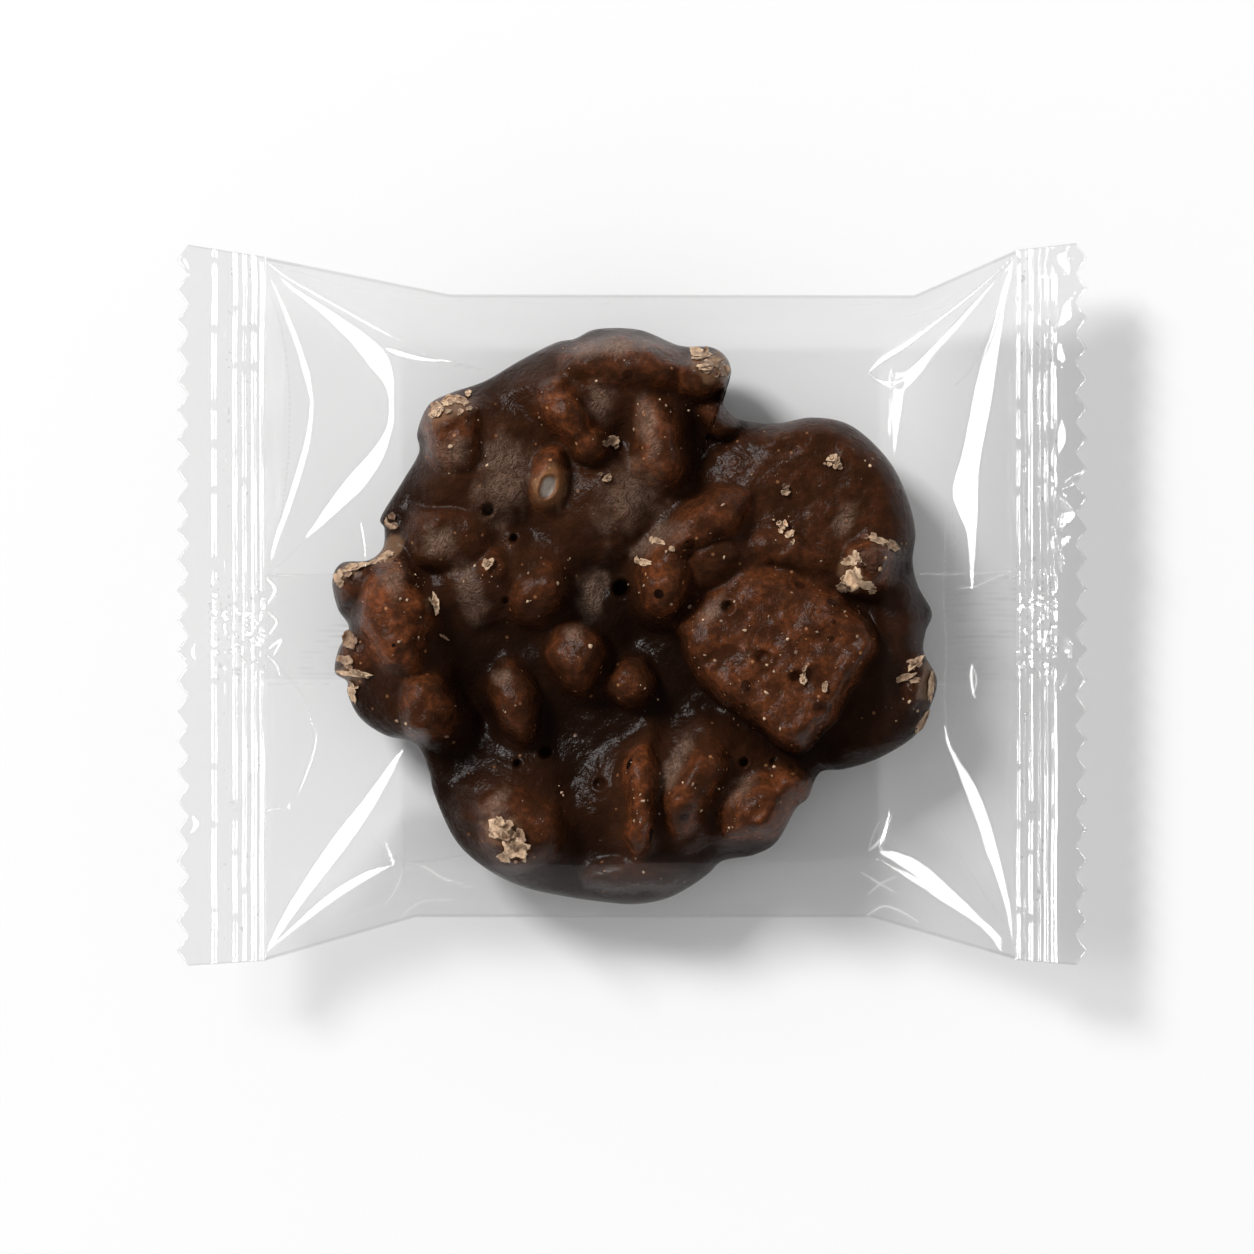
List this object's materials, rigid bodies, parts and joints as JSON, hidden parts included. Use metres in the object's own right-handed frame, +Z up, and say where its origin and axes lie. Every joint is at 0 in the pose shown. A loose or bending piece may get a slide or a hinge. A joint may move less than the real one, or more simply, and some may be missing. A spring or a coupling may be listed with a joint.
{
  "type": "pecan praline",
  "caption": "Chocolate-covered pecan praline sealed in a clear pillow packet with crimped, zigzag-cut ends; lies flat as a wrapped sweet.",
  "frame": {"origin": "centre of the packet's outline, on the surface it lies on", "axes": "+X along the packet from one crimped end to the other, +Y across it towards the upper side in the picture, +Z up out of the resting face"},
  "size_m": [0.105, 0.0834, 0.02],
  "materials": {
    "film": "clear, high gloss packet film",
    "chocolate": "satin dark chocolate coating with a soft sheen",
    "pecan": "dry, flaky bare pecan skin and crumb"
  },
  "bodies": {
    "root": {"packet": "film"}
  },
  "joints": []
}
